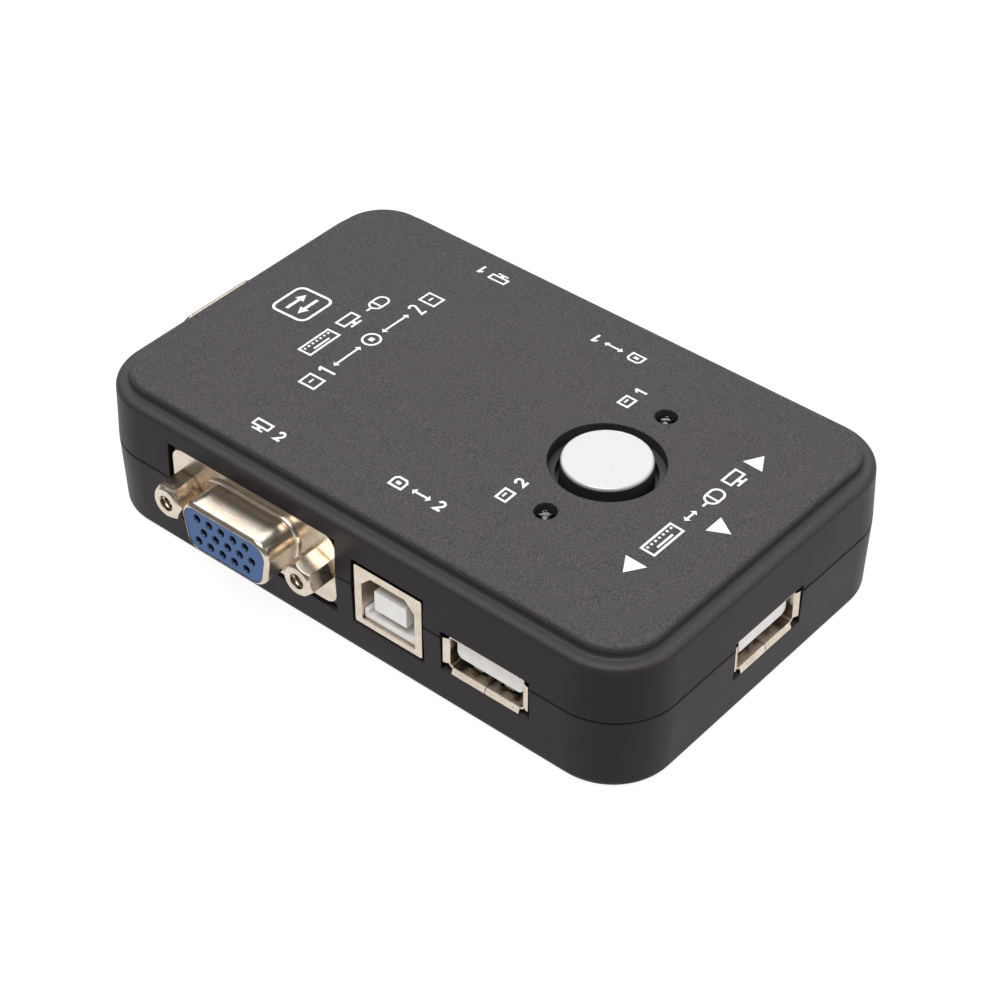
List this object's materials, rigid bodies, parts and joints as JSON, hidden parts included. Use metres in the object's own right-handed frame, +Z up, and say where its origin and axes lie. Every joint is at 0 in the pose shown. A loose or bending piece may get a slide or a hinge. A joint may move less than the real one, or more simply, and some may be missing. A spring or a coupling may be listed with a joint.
{
  "type": "kvm switch",
  "caption": "Desktop box that shares a keyboard, mouse and monitor between computers, with a round select button, status lights and video and data sockets in its sides.",
  "frame": {"origin": "centre of the case's underside", "axes": "+Z up through the deck; +X towards the end with one flat data socket; -X towards the end with the monitor socket; -Y towards the second computer's sockets"},
  "size_m": [0.1031, 0.0721, 0.0248],
  "materials": {
    "case_plastic": "fine spark-eroded grain on the deck, smoother satin walls",
    "button_paint": "satin silver paint over a black moulding",
    "nickel_plate": "bright warm nickel plate on pressed steel",
    "blue_plastic": "moulded blue plastic",
    "white_plastic": "moulded white plastic",
    "socket_plastic": "moulded black plastic",
    "gold_contact": "thin gold flash over copper alloy",
    "clear_lens": "clear epoxy",
    "board_laminate": "green solder mask",
    "chip_plastic": "moulded black compound",
    "capacitor_ceramic": "fired ceramic",
    "tinned_metal": "bright tin plate",
    "can_aluminium": "drawn can",
    "zinc_steel": "zinc plated"
  },
  "bodies": {
    "case": {"top_cover": "case_plastic", "bottom_cover": "case_plastic", "case_screws": "zinc_steel", "circuit_board": "board_laminate", "video_switch_chips": "chip_plastic", "data_switch_chip": "chip_plastic", "chip_leads": "tinned_metal", "clock_crystal": "tinned_metal", "filter_capacitors": "can_aluminium", "chip_resistors": "chip_plastic", "chip_capacitors": "capacitor_ceramic", "switch_housing": "chip_plastic", "switch_spring": "zinc_steel", "switch_terminals": "tinned_metal", "light_1_lens": "clear_lens", "light_1_leads": "tinned_metal", "light_2_lens": "clear_lens", "light_2_leads": "tinned_metal", "video_in_1_shell": "nickel_plate", "video_in_1_insert": "blue_plastic", "video_in_1_contacts": "gold_contact", "video_in_1_housing": "socket_plastic", "video_in_1_jack_sockets": "nickel_plate", "video_in_2_shell": "nickel_plate", "video_in_2_insert": "blue_plastic", "video_in_2_contacts": "gold_contact", "video_in_2_housing": "socket_plastic", "video_in_2_jack_sockets": "nickel_plate", "video_out_shell": "nickel_plate", "video_out_insert": "blue_plastic", "video_out_contacts": "gold_contact", "video_out_housing": "socket_plastic", "video_out_jack_sockets": "nickel_plate", "host_socket_1_shell": "nickel_plate", "host_socket_1_contacts": "gold_contact", "host_socket_1_insulator": "white_plastic", "host_socket_2_shell": "nickel_plate", "host_socket_2_contacts": "gold_contact", "host_socket_2_insulator": "white_plastic", "device_socket_back_shell": "nickel_plate", "device_socket_back_contacts": "gold_contact", "device_socket_back_insulator": "white_plastic", "device_socket_front_shell": "nickel_plate", "device_socket_front_contacts": "gold_contact", "device_socket_front_insulator": "white_plastic", "device_socket_end_shell": "nickel_plate", "device_socket_end_contacts": "gold_contact", "device_socket_end_insulator": "white_plastic"},
    "button": {"select_button": "button_paint", "switch_plunger": "chip_plastic"}
  },
  "joints": [
    {"name": "button_press", "type": "slide", "parent": "case", "child": "button", "axis": [0, 0, -1], "range_m": [0, 0.0015], "stiffness_N_per_m": 300, "springref_m": -0.002, "deforming": ["switch_spring"]}
  ]
}
